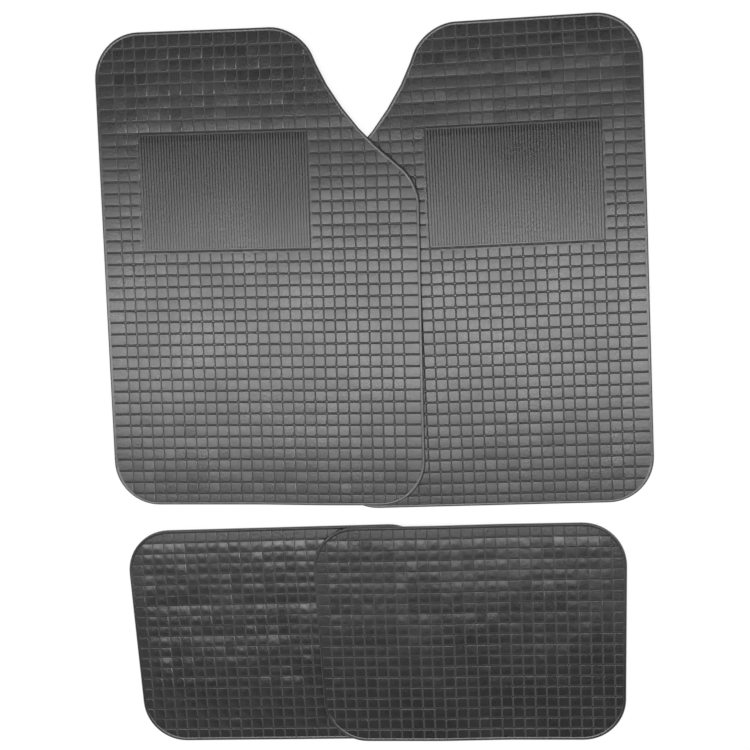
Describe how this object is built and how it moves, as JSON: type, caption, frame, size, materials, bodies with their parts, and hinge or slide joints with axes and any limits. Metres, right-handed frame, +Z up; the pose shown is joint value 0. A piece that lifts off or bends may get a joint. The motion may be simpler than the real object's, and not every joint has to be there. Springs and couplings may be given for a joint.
{
  "type": "floor mat set",
  "caption": "Moulded rubber floor mat set: front mats with ribbed heel pad and cut inner corner, plain rear mats, square tile grip pattern, laid out in overlapping pairs.",
  "frame": {"origin": "centre of the whole set's bounding box, on the floor that the mats lie on", "axes": "+Z up, +Y towards the front of the vehicle, +X towards its right side"},
  "size_m": [0.7466, 0.9966, 0.0097],
  "materials": {
    "mat_rubber": "semi-gloss moulded black rubber"
  },
  "bodies": {
    "passenger": {"passenger_mat": "mat_rubber"},
    "driver": {"driver_mat": "mat_rubber"},
    "rear_left": {"rear_left_mat": "mat_rubber"},
    "rear_right": {"rear_right_mat": "mat_rubber"}
  },
  "joints": [
    {"name": "driver_lift", "type": "slide", "parent": "passenger", "child": "driver", "axis": [0, 0, 1], "range_m": [0, 0.15]},
    {"name": "rear_left_lift", "type": "slide", "parent": "passenger", "child": "rear_left", "axis": [0, 0, 1], "range_m": [0, 0.15]},
    {"name": "rear_right_lift", "type": "slide", "parent": "rear_left", "child": "rear_right", "axis": [0, 0, 1], "range_m": [0, 0.15]}
  ]
}
